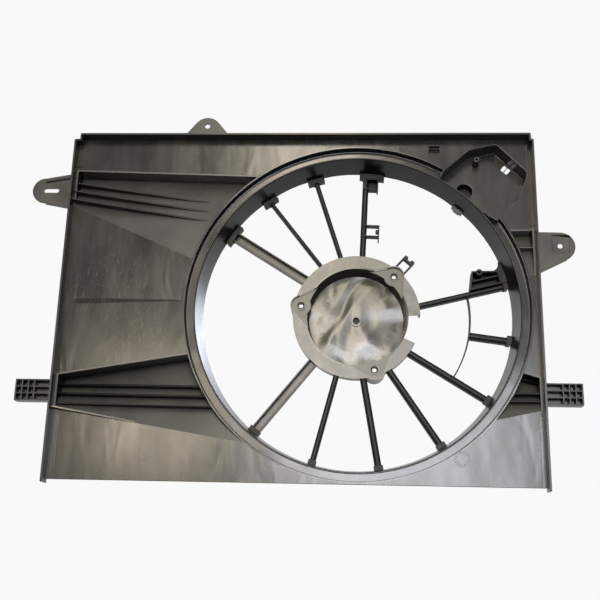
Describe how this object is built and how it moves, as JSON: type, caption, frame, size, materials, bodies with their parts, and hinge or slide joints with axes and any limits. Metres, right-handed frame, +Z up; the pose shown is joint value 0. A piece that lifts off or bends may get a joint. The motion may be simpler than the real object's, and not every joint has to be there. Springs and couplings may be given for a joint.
{
  "type": "radiator fan shroud",
  "caption": "Moulded radiator fan shroud: a flat panel around a round fan opening, with spokes that carry a motor cup, mounting arms, pegs and a module pocket.",
  "frame": {"origin": "on the fan axis, in the radiator-side face of the flat panel", "axes": "+X right and +Z up as installed, seen from the radiator; +Y rearward along the fan axis, away from the radiator"},
  "size_m": [0.753, 0.0992, 0.52],
  "materials": {
    "panel_plastic": "satin black glass-filled plastic, as moulded",
    "ring_plastic": "polished mould finish, black",
    "hub_plastic": "polished mould finish, black with flow marks",
    "spoke_plastic": "black, semi-gloss",
    "wall_plastic": "satin black"
  },
  "bodies": {
    "root": {"arc_rib": "spoke_plastic", "barrel_rear_flange": "ring_plastic", "barrel_tab": "ring_plastic", "bellmouth_ring": "ring_plastic", "blade_clip": "spoke_plastic", "box_clip": "spoke_plastic", "clip_pocket": "panel_plastic", "connector_bracket": "spoke_plastic", "fan_barrel": "ring_plastic", "grommet_tube": "spoke_plastic", "hub_cup_floor": "hub_plastic", "hub_cup_wall": "hub_plastic", "hub_harness_clip": "spoke_plastic", "hub_skirt": "hub_plastic", "left_border_strip": "panel_plastic", "left_wall": "wall_plastic", "lower_left_peg": "wall_plastic", "lower_left_recess": "panel_plastic", "lower_left_ribs": "panel_plastic", "lower_left_tail_rib": "panel_plastic", "lower_right_peg": "wall_plastic", "lower_right_recess": "panel_plastic", "lower_right_ribs": "panel_plastic", "main_panel": "panel_plastic", "module_boss": "panel_plastic", "module_pocket": "panel_plastic", "motor_ear_1": "hub_plastic", "motor_ear_2": "hub_plastic", "motor_ear_3": "hub_plastic", "moulding_marks": "panel_plastic", "panel_fold": "panel_plastic", "pocket_latch_bar": "panel_plastic", "right_border_strip": "panel_plastic", "right_wall": "wall_plastic", "shaft_socket": "spoke_plastic", "spoke_01": "spoke_plastic", "spoke_02": "spoke_plastic", "spoke_03": "spoke_plastic", "spoke_04": "spoke_plastic", "spoke_05": "spoke_plastic", "spoke_06": "spoke_plastic", "spoke_07": "spoke_plastic", "spoke_08": "spoke_plastic", "spoke_09": "spoke_plastic", "spoke_10": "spoke_plastic", "spoke_11": "spoke_plastic", "spoke_feet": "spoke_plastic", "top_ear": "wall_plastic", "top_wall": "wall_plastic", "upper_left_arm": "wall_plastic", "upper_left_arm_lip": "wall_plastic", "upper_left_arm_ribs": "wall_plastic", "upper_left_gussets": "panel_plastic", "upper_left_recess": "panel_plastic", "upper_right_arm": "wall_plastic", "upper_right_arm_rib": "wall_plastic", "upper_right_recess": "panel_plastic", "upper_right_rib": "panel_plastic"}
  },
  "joints": []
}
